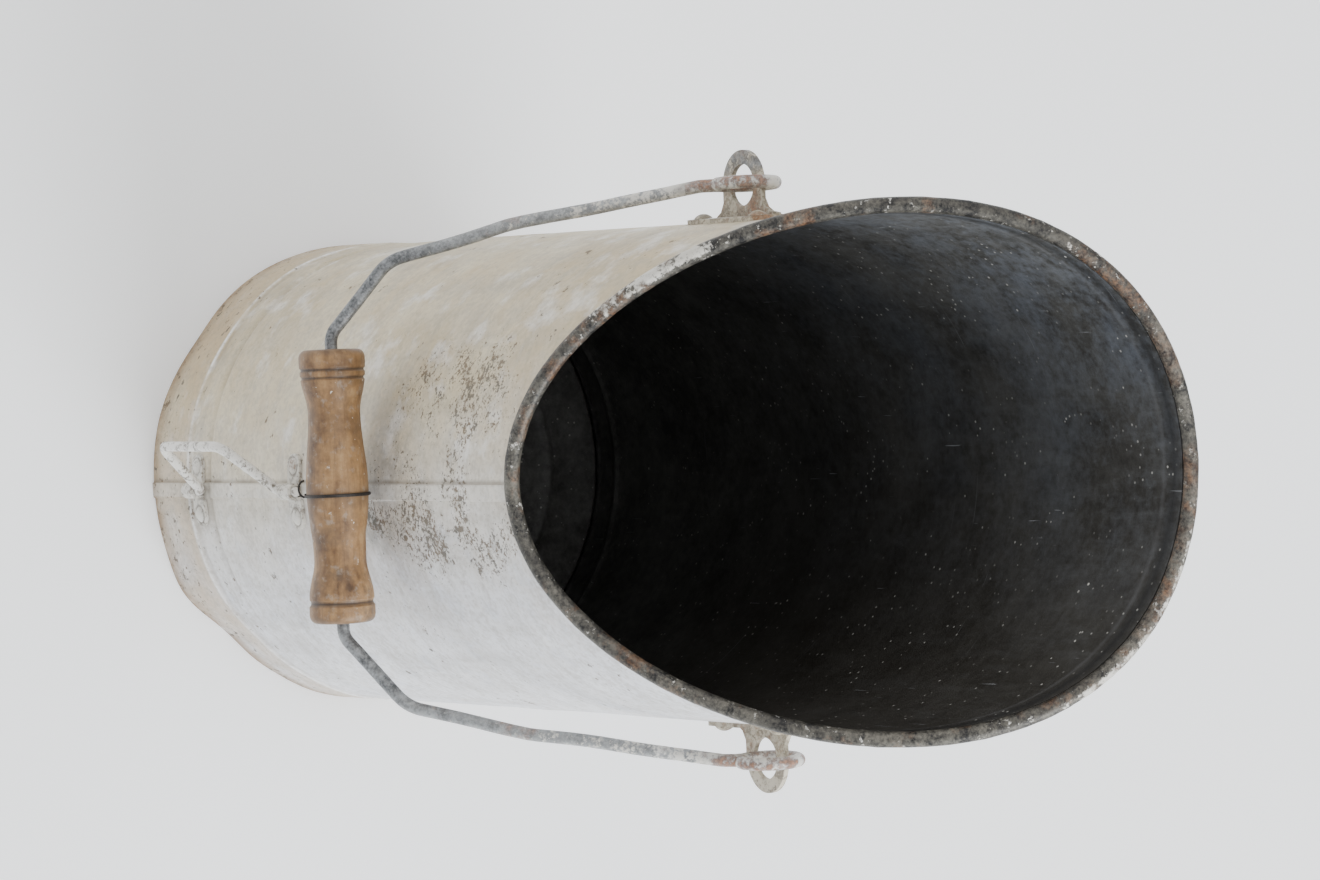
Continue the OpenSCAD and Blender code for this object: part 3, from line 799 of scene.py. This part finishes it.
def clip_rings(m):
    x, _, z = m.xyz()
    return rivet_rings(m, x, z, [(0.0035 + offset, height) for offset in (-0.011, 0.011)
                                 for height in (0.05103, 0.15047)])


def lip_rust(m):
    """rust on the front of the roll"""
    _, y, _ = m.xyz()
    patches = m.patches(scale=48, detail=3, rough=0.6, seed=22.0, span=(0.50, 0.68),
                        to=(0.0, 0.75))
    return rise(y, start=0.045, rate=22) * patches


def rim_paint(m):
    """the outer paint laps onto the roll in two stretches: at the back towards -X, and
    along the +X side of the lip"""
    x, y, z = m.xyz()
    outer = rise(distance(x, y), start=wall_radius(z, extra=1.3), rate=800.0)
    by_back = blob(x, y, centre=(-0.075, -0.067), reach=(0.025, 0.025)) * 0.66
    by_lip = blob(x, y, centre=(0.066, 0.080), reach=(0.046, 0.044))
    return outer * (largest(by_back, by_lip) * 2.5).clamped() * 0.13


def crown(m):
    """the outer end of the -X ear is darker: painted shade, laid in bare-metal greys"""
    x, _, _ = m.xyz()
    patches = m.patches(scale=90, detail=4, rough=0.65, seed=24.0, span=(0.34, 0.56),
                        to=(0.3, 0.9))
    return fall(x, end=-0.1165, rate=300) * patches


def ear_paint(m):
    """a little more paint on the +X ear, less on the crown, which carries painted shade"""
    x, _, _ = m.xyz()
    return crown(m).mul_add(-0.085, (x > 0.0) * 0.035)


# colours shared by the painted fittings
EAR_LOOK = dict(base=(170, 160, 141), dark=(118, 107, 90), metallic=0.1,
                paint_colours=((204, 197, 180), (186, 175, 151)))
CLIP_LOOK = dict(base=(176, 172, 164), metallic=0.1)

OUTSIDE = paint_outside()
INSIDE = black_inside()
RIM_STEEL = worn_steel("rim_worn_steel", base=(114, 110, 101), dark=(34, 33, 33), rust=0.36,
                       paint=0.49, metallic=0.4, rust_colours=((84, 56, 36), (152, 104, 62)),
                       rust_where=lip_rust, paint_where=rim_paint)
BAIL_STEEL = worn_steel("bail_worn_zinc", base=(176, 178, 178), dark=(122, 123, 123), rust=0.20,
                        paint=0.62, metallic=0.4,
                        paint_colours=((222, 221, 217), (204, 197, 183)),
                        rust_where=near_eyes, paint_where=upper_rod, dark_where=low_rod)
EAR_STEEL = worn_steel("fittings_half_painted", rust=0.40, paint=0.86, paint_where=ear_paint,
                       dark_where=crown, grime_where=ear_rings, **EAR_LOOK)
EAR_RIVETS = worn_steel("ear_rivets_half_painted", rust=0.45, paint=0.82, sooty_inside=True,
                        **EAR_LOOK)
CLIP_RIVETS = worn_steel("clip_rivets_white_paint", dark=(128, 120, 108), rust=0.20, paint=1.15,
                         paint_colours=((224, 223, 219), (206, 200, 186)), sooty_inside=True,
                         **CLIP_LOOK)
CLIP_STEEL = worn_steel("clips_white_paint", dark=(124, 114, 100), rust=0.05, paint=0.98,
                        paint_colours=((222, 221, 216), (200, 193, 178)),
                        grime_where=clip_rings, **CLIP_LOOK)
TILT_STEEL = worn_steel("tilt_wire_white", dark=(112, 104, 92), rust=-0.05, paint=1.04,
                        paint_colours=((238, 237, 234), (216, 211, 200)), **CLIP_LOOK)
IRON = worn_steel("dark_binding_wire", base=(66, 60, 56), dark=(30, 27, 25), rust=0.05,
                  paint=-0.8, scale=1.6, metallic=0.5)
WOOD = wood()

# ---------------------------------------------------------------- body wall
SEAM_R = 107.0              # radius used to place the seam's stations
# stations across the lap seam, in mm along the back towards +X: its -X edge is the sharper
SEAM_X = [-1.2, -0.6, -0.25, -0.08, 0.05, 0.3, 0.9, 2.0, 3.5, 5.0, 6.2, 6.7, 6.95, 7.05, 7.3, 8.2]
# heights of the rows through the foot band and groove
LOW_ROWS = [0, .8, 2, 4, 6, 8.5, 12, 16, 20, 25, 30, 34, 36.5, 38, 39, 40, 40.8, 41.5, 42.3, 43.2,
            44.2, 46, 49, 52, 55, 57, 58.2, 59, 59.7, 60.5, 61.3, 62, 62.8, 64, 67, 71, 76]
HIGH_ROWS = 84              # rows from there to the top edge


def lap(azimuth):
    """extra thickness where the sheet laps over itself"""
    if abs(azimuth + 90) >= 20:
        return 0.0
    x = SEAM_R * math.sin(math.radians(azimuth + 90))
    return float(np.interp(x, [-0.1, 0.06, 6.85, 7.1], [0, SHEET, SHEET, 0]))


def top_edge(azimuth):
    s = math.sin(math.radians(azimuth))
    z = edge_z(wall_r(MOUTH_MID_Z) * s)
    for _ in range(3):
        z = edge_z((wall_r(z) - SHEET / 2) * s)
    return z


def build_wall():
    azimuths = [a for a in np.linspace(-90, 270, 361)[:-1] if not (-90.9 < a < -85.2)]
    azimuths += [-90 + math.degrees(math.asin(x / SEAM_R)) for x in SEAM_X]
    azimuths = sorted(set((a + 90) % 360 - 90 for a in azimuths))
    columns = [(a, math.cos(math.radians(a)), math.sin(math.radians(a)), top_edge(a), lap(a))
               for a in azimuths]
    count, rows = len(columns), len(LOW_ROWS) + HIGH_ROWS
    high_start = LOW_ROWS[-1]
    outer, inner = [], []
    for row in range(rows):
        for azimuth, c, s, top, lapped in columns:
            if row < len(LOW_ROWS):
                z = LOW_ROWS[row]
            else:
                step = row - len(LOW_ROWS) + 1
                z = high_start + (top - high_start) * step / HIGH_ROWS
            base = wall_r(z) + press(z) + dent(azimuth, z)
            r_out = base + lapped
            # the sheet is doubled below z = 7
            r_in = base - SHEET * (1 + clamp01((9 - z) / 2))
            outer.append((r_out * c, r_out * s, z))
            inner.append((r_in * c, r_in * s, z))
    faces = []
    for i in range(rows - 1):
        for pair in zip(band(i, i + 1, count),
                        band(rows + i, rows + i + 1, count, flipped=True)):
            faces += pair
    face_materials = [0, 1] * (len(faces) // 2)
    for pair in zip(band(rows - 1, 2 * rows - 1, count), band(0, rows, count, flipped=True)):
        faces += pair
        face_materials += [1, 0]
    add_piece("wall_sheet", outer + inner, faces, (OUTSIDE, INSIDE), rides="body",
              replaces="body_wall", sharp_deg=42,
              face_materials=face_materials)


# ---------------------------------------------------------------- bottom plate
def fit_r(z):
    """the plate's radius just clear of the foot band's inner face"""
    return wall_r(z) + FOOT_OUT - SHEET - 0.05


def build_bottom():
    """a flanged plate with a raised ring, dented together with the wall"""
    low, high = fit_r(9.5), fit_r(37)
    # upper face: (radius, height), up the flange, over its corner and in to the middle
    upper = [(low, 9.5), (low - 0.2, 14), (low - 0.35, 18), ((low + high) / 2, 23),
             (high + 0.3, 28), (high + 0.1, 33), (high, 36.4), (high - 0.25, 37.7),
             (high - 0.9, 38.9), (high - 1.8, 39.7), (high - 2.8, 40), (98, 40), (91, 40),
             (84.6, 40), (83.4, 40.3), (82.2, 41.2), (81, 41.6), (79.8, 41.2), (78.6, 40.3),
             (77.4, 40), (70, 40), (60, 40), (50, 40), (40, 40), (30, 40), (20, 40.35),
             (10, 40.75), (4, 40.95)]
    upper = [(min(r, fit_r(z)), z) for r, z in upper]
    lower = [(r - (SHEET if i < 10 else 0), z if i < 8 else z - SHEET)
             for i, (r, z) in enumerate(upper)]
    profile = upper + lower[::-1]
    around, count = 180, len(profile)
    verts, faces = [], []
    for r, z in profile:
        for j in range(around):
            azimuth = 360 * j / around - 90
            angle = math.radians(azimuth)
            c, s = math.cos(angle), math.sin(angle)
            dented_r = r + dent(azimuth, z) * clamp01((r - 55) / 45)
            wave = (0.35 * fbm((r * c, r * s, 0), scale=38, seed=6.0, octaves=2)
                    * clamp01((100 - r) / 20))
            verts.append((dented_r * c, dented_r * s, z + wave))
    top_middle, under_middle = len(upper) - 1, len(upper)
    for i in range(count):
        if i != top_middle:
            faces += band(i, (i + 1) % count, around)
    faces.append(cap(top_middle, around))
    faces.append(cap(under_middle, around, flipped=True))
    add_piece("floor_plate", verts, faces, (INSIDE,), rides="body",
              replaces="bottom_plate", sharp_deg=60)


# ---------------------------------------------------------------- rolled rim
def build_rim():
    stations, arc_points = 360, 22
    start, end = 215, 550             # the roll's open section, in degrees
    section = []                      # (outwards, downwards, is the outer face)
    for i in range(arc_points):
        angle = math.radians(start + (end - start) * i / (arc_points - 1))
        section.append((RIM_R * math.cos(angle), RIM_R * math.sin(angle), True))
    for i in range(arc_points):
        angle = math.radians(end - (end - start) * i / (arc_points - 1))
        section.append(((RIM_R - SHEET) * math.cos(angle), (RIM_R - SHEET) * math.sin(angle),
                        False))
    verts, faces = [], []
    for i in range(stations):
        angle = TAU * i / stations
        centre = rim_point(angle)
        tangent = unit(rim_point(angle + 0.01) - rim_point(angle - 0.01))
        u = square_to(np.array([math.cos(angle), math.sin(angle), 0]), tangent)
        v = np.cross(tangent, u)
        sway = 0.35 * fbm(centre, scale=26, seed=5.0, octaves=2)
        centre = centre + u * sway * 0.5
        for out, down, is_outer in section:
            point = centre + out * u - down * v
            if is_outer:
                lump = (0.22 * fbm(point, scale=9, seed=2.0, octaves=3)
                        + 0.10 * fbm(point, scale=2.5, seed=7.0, octaves=2))
                point = point + (out * u - down * v) / RIM_R * lump
            verts.append(point)
        faces += band(i, (i + 1) % stations, len(section), flipped=True)
    add_piece("rim_roll", verts, faces, (RIM_STEEL,), rides="body",
              replaces="rim_curl", sharp_deg=50)


# ---------------------------------------------------------------- bail
EYE_MID_R = 9.0 + BAIL_D / 2          # the eye's radius to the rod's middle
EYE_DROP = 5.4                        # eye centre below the pivot
EYE_END = 247                         # where the eye's free end stops, in degrees
NECK_R = 4.0                          # reverse bend between eye and rod
BAIL_LENGTH = 185.0
PIVOT = np.array(JOINTS["bail_swing"]["pos_m"]) * 1000
GRIP_AT = np.array(JOINTS["grip_spin"]["pos_m"]) * 1000
BAIL_REST = math.atan2(-(GRIP_AT[1] - PIVOT[1]), -(GRIP_AT[2] - PIVOT[2]))


def bail_to_world(point):
    """from the bail's own frame (pivot at the origin, rod hanging along -Z)"""
    c, s = math.cos(-BAIL_REST), math.sin(-BAIL_REST)
    x, y, z = point
    return np.array([x, y * c - z * s + PIVOT[1], y * s + z * c + PIVOT[2]])


def wavy(point):
    """small waves in the rod, none at the eyes or inside the grip"""
    drop = -point[2]
    share = clamp01((drop - 32) / 20) * clamp01((abs(point[0]) - 61) / 10)
    sign = 1 if point[0] > 0 else -1
    dx = 0.55 * math.sin(drop / 17.0 + 0.6 * sign) + 0.35 * math.sin(drop / 8.3 + sign)
    dy = 0.6 * math.sin(drop / 21.0 + 2.1 * sign)
    return point + share * np.array([dx * 0.55, dy * 0.7, 0])


def build_bail():
    neck_drop = math.sqrt((EYE_MID_R + NECK_R) ** 2 - NECK_R ** 2)
    neck_deg = math.degrees(math.asin(NECK_R / (EYE_MID_R + NECK_R)))
    half = []
    for i in range(61):
        angle = math.radians(EYE_END - (EYE_END + 90 - neck_deg) * i / 60)
        half.append(np.array([EAR_X, EYE_MID_R * math.cos(angle),
                              -EYE_DROP + EYE_MID_R * math.sin(angle)]))
    for i in range(1, 11):
        angle = math.radians(90 + neck_deg + (90 - neck_deg) * i / 10)
        half.append(np.array([EAR_X, NECK_R + NECK_R * math.cos(angle),
                              -EYE_DROP - neck_drop + NECK_R * math.sin(angle)]))
    neck_z = -EYE_DROP - neck_drop
    corners = [[EAR_X, 0, neck_z], [EAR_X, 0, neck_z - 4], [102.2, 0, -105], [90.8, 0, -158],
               [62, 0, -BAIL_LENGTH], [0, 0, -BAIL_LENGTH]]
    half += rod_path(corners, radii=[0, 20, 60, 20, 9, 0])[1:-1]
    whole = half + [np.array([-p[0], p[1], p[2]]) for p in reversed(half)]
    path = [bail_to_world(wavy(p)) for p in whole]
    verts, faces = tube(path, BAIL_D / 2 + 0.1, first_side=(1, 0, 0), around=22,
                        skin=uneven_skin(depth=0.07, spread=3, scale=5, seed=4.0))
    add_piece("bail_bent_rod", verts, faces, (BAIL_STEEL,), rides="bail",
              replaces="bail_rod", sharp_deg=60)


# ---------------------------------------------------------------- grip and its binding wire
MIDDLE_R, WAIST_R, END_R = 12.85, 10.75, 13.6
WAIST_X = 30                # the thinnest place, either side of the middle
BEAD = 10                   # length of the bead at each end
END_ROUND = 3.5             # length of the rounding at each end
# knocks in the grip: (x, angle, reach, depth)
KNOCKS = [(20, 1.0, 3.2, 0.5), (-18, 2.4, 4.0, 0.4), (49, 4.0, 2.5, 0.6), (-50, 5.2, 2.6, 0.5),
          (-6, 4.6, 3.0, 0.35), (33, 3.2, 3.0, 0.4)]
WIRE_R = 0.42


def grip_base(x):
    """swelling middle, waist, then a bead with a rounded end"""
    if x < WAIST_X:
        wave = math.cos(math.radians(180 / WAIST_X * x))
        return (MIDDLE_R + WAIST_R) / 2 + (MIDDLE_R - WAIST_R) / 2 * wave
    if x < GRIP_HALF - BEAD:
        share = (x - WAIST_X) / (GRIP_HALF - BEAD - WAIST_X)
        return ((END_R + WAIST_R) / 2 - 0.12
                - (END_R - WAIST_R - 0.24) / 2 * math.cos(math.pi * share))
    if x < GRIP_HALF - END_ROUND:
        return END_R - 0.25 * ((x - GRIP_HALF + 5) / 5) ** 2
    past = (x - GRIP_HALF + END_ROUND) / END_ROUND
    return END_R - 3 + 3 * math.sqrt(max(0.0, 1 - past ** 2))


def grip_r(x):
    cuts = sum(-depth * (1 - (abs(x - at) / half_width) ** 2)
               for at, half_width, depth in GRIP_GROOVES if abs(x - at) < half_width)
    return grip_base(abs(x)) + cuts


def build_grip():
    xs = list(np.linspace(-GRIP_HALF, GRIP_HALF, 225))
    for at, _, _ in GRIP_GROOVES:
        xs += list(at + np.linspace(-1.6, 1.6, 17))
    for sign in (-1, 1):
        quarter = np.sin(np.linspace(0, math.pi / 2, 12))
        xs += list(sign * (GRIP_HALF - END_ROUND + END_ROUND * quarter))
    xs = sorted(set(round(float(x), 3) for x in xs if abs(x) <= GRIP_HALF))
    bore = BAIL_D / 2 + 0.32
    # (x, radius, is the outer face), then back through the bore
    profile = [(x, grip_r(x), True) for x in xs]
    profile += [(GRIP_HALF, 4.2, False), (GRIP_HALF - 0.5, 3.0, False),
                (GRIP_HALF - 1.2, bore, False), (-GRIP_HALF + 1.2, bore, False),
                (-GRIP_HALF + 0.5, 3.0, False), (-GRIP_HALF, 4.2, False)]
    around = 96
    verts, faces = [], []
    for i, (x, r, is_outer) in enumerate(profile):
        for j in range(around):
            angle = TAU * j / around
            worn_r = r
            if is_outer:
                point = (x * 0.35, r * math.cos(angle) * 1.4, r * math.sin(angle) * 1.4)
                worn_r += 0.16 * fbm(point, scale=7, seed=6.0, octaves=3) - 0.05
                for at, knock_angle, reach, depth in KNOCKS:
                    turn = turn_from(angle, knock_angle, full=TAU)
                    worn_r -= depth * math.exp(-((x - at) / reach) ** 2
                                               - (turn * r / reach) ** 2)
            verts.append((x + GRIP_AT[0], worn_r * math.sin(angle) + GRIP_AT[1],
                          worn_r * math.cos(angle) + GRIP_AT[2]))
        faces += band(i, (i + 1) % len(profile), around)
    add_piece("turned_grip", verts, faces, (WOOD,), rides="grip",
              replaces="wood_grip", sharp_deg=55)


def build_binding_wire():
    """two close turns, then an arch lying along the grip from the last turn"""
    start_angle = math.radians(-(180 - 24.5))       # towards -Y and a little down
    turns, steps, arch_steps = 2.0, 150, 24
    first_x, pitch = 3.0, 1.0
    path = []
    for i in range(steps + 1):
        t = i / steps
        angle = start_angle + TAU * turns * t
        x = first_x + pitch * t
        r = grip_r(x) + WIRE_R
        path.append(np.array([x, r * math.cos(angle), r * math.sin(angle)]))
    outwards = np.array([0, math.cos(start_angle), math.sin(start_angle)])
    foot_r = grip_r(0) + WIRE_R
    for i in range(1, arch_steps + 1):
        angle = math.pi * i / arch_steps
        x = first_x + pitch - 3.4 * (1 - math.cos(angle))
        path.append(np.array([x, 0, 0]) + outwards * (foot_r + 2.5 * math.sin(angle)))
    verts, faces = tube([p + GRIP_AT for p in path], WIRE_R, first_side=(1, 0, 0), around=12)
    add_piece("binding_wire", verts, faces, (IRON,), rides="grip",
              replaces="grip_binding_wire", sharp_deg=60)


# ---------------------------------------------------------------- tilt handle
TILT_REST = math.radians(42)
CLIP_LOW, CLIP_HIGH = -49, 50.5       # the clips' places along the hinge axis


def build_tilt():
    joint = JOINTS["tilt_handle_swing"]
    hinge = np.array(joint["pos_m"]) * 1000
    axis = unit(joint["axis"])
    to_front = unit(np.cross(axis, (1, 0, 0)))
    out = -to_front * math.cos(TILT_REST) - np.array([1, 0, 0]) * math.sin(TILT_REST)
    low, high = CLIP_LOW + 5.5, CLIP_HIGH - 5.5
    # wire corners: (out from the hinge, along it)
    corners = [(0, CLIP_LOW - 7), (0, low + 4), (31.5, low + 14), (31.5, high - 13.5),
               (0, high - 4), (0, CLIP_HIGH + 7)]
    path = rod_path([(r, 0, along) for r, along in corners], radii=[0, 5, 7, 7, 5, 0],
                    step=5.0, gap=3.0)
    side = unit(np.cross(axis, out))
    points = []
    for reach, _, along in path:
        share = min(1.0, reach / 12)
        sideways = 0.5 * math.sin(along / 11.0) * share
        points.append(hinge + out * (reach + 0.4 * share * math.sin(along / 9.0))
                      + axis * along + side * sideways)
    verts, faces = tube(points, 2.25, first_side=side, around=20,
                        skin=uneven_skin(depth=0.06, spread=2, scale=4, seed=9.0, sink=0.01))
    add_piece("tilt_wire_handle", verts, faces, (TILT_STEEL,), rides="tilt_handle",
              replaces="tilt_handle", sharp_deg=60)


# ---------------------------------------------------------------- CAD pieces kept as they are
# (piece, material, bevel width in metres)
KEPT = [("rim_wire", RIM_STEEL, 0), ("left_ear", EAR_STEEL, 0.00035),
        ("right_ear", EAR_STEEL, 0.00035), ("tilt_upper_clip", CLIP_STEEL, 0.00025),
        ("tilt_lower_clip", CLIP_STEEL, 0.00025), ("tilt_upper_clip_rivets", CLIP_RIVETS, 0),
        ("tilt_lower_clip_rivets", CLIP_RIVETS, 0), ("left_ear_rivets", EAR_RIVETS, 0),
        ("right_ear_rivets", EAR_RIVETS, 0)]


def dress(name, material, bevel_width):
    piece = NODES[name]
    if len(piece.material_slots) == 0:
        piece.data.materials.append(material)
    for slot in piece.material_slots:
        slot.material = material
    if bevel_width:
        bevel = piece.modifiers.new("soft_edges", "BEVEL")
        bevel.width = bevel_width
        bevel.segments = 3
        bevel.limit_method = "ANGLE"
        bevel.angle_limit = math.radians(35)


# ---------------------------------------------------------------- stage and camera
def area_light(name, location, target, size, power, colour):
    light = bpy.data.lights.new(name, "AREA")
    light.shape = "RECTANGLE"
    light.size = light.size_y = size
    light.energy = power
    light.color = colour
    holder = bpy.data.objects.new(name, light)
    bpy.context.scene.collection.objects.link(holder)
    holder.location = location
    aim = Vector(target) - Vector(location)
    holder.rotation_euler = aim.to_track_quat("-Z", "Y").to_euler()


def build_stage():
    bpy.ops.mesh.primitive_plane_add(size=30, location=(0, 0, 0))
    floor = bpy.context.object
    floor.name = "floor"
    floor.data.materials.append(floor_cloth())
    world = bpy.data.worlds.new("soft_room")
    bpy.context.scene.world = world
    world.use_nodes = True
    background = world.node_tree.nodes["Background"]
    background.inputs["Color"].default_value = (0.93, 0.96, 1.0, 1)
    background.inputs["Strength"].default_value = 0.86
    area_light("key_window", location=(1.9, 0.5, 1.9), target=(0, 0, 0.22), size=1.6,
               power=92, colour=(0.95, 0.98, 1.0))
    area_light("fill_warm", location=(-1.8, -1.0, 1.5), target=(0, 0, 0.25), size=1.8,
               power=16, colour=(1.0, 0.95, 0.88))
    area_light("top_soft", location=(0.1, 0.6, 2.4), target=(0, 0, 0.2), size=2.0,
               power=22, colour=(1.0, 0.99, 0.97))


def build_camera():
    """looks down from the back, turned a quarter so the hod's up points to the frame's right"""
    elevation, swing, roll = 1.0237, 0.0317, 0.0147      # radians
    camera_distance, shift_right, shift_up = 1252.7, 13.117, -15.562
    target = np.array([0, 0, 250.0])
    back = np.array([0, -math.cos(elevation), math.sin(elevation)])
    right = np.array([1.0, 0, 0])
    up = np.array([0, math.sin(elevation), math.cos(elevation)])
    location = target + back * camera_distance - right * shift_right - up * shift_up
    c, s = math.cos(-swing), math.sin(-swing)
    about_z = np.array([[c, -s, 0], [s, c, 0], [0, 0, 1]])
    location, back, right, up = (about_z @ v for v in (location, back, right, up))
    c, s = math.cos(roll), math.sin(roll)
    camera_x = s * right + c * up
    camera_y = -(c * right - s * up)
    data = bpy.data.cameras.new("camera")
    data.sensor_fit = "HORIZONTAL"
    data.sensor_width = 36.0
    data.lens = 80.727273
    data.clip_start = 0.01
    data.clip_end = 60
    camera = bpy.data.objects.new("camera", data)
    bpy.context.scene.collection.objects.link(camera)
    rows = zip(camera_x, camera_y, back, location * MM)
    camera.matrix_world = Matrix((*rows, (0, 0, 0, 1)))
    bpy.context.scene.camera = camera


build_wall()
build_bottom()
build_rim()
build_bail()
build_grip()
build_binding_wire()
build_tilt()
for kept in KEPT:
    dress(*kept)
build_stage()
build_camera()
bpy.context.view_layer.update()
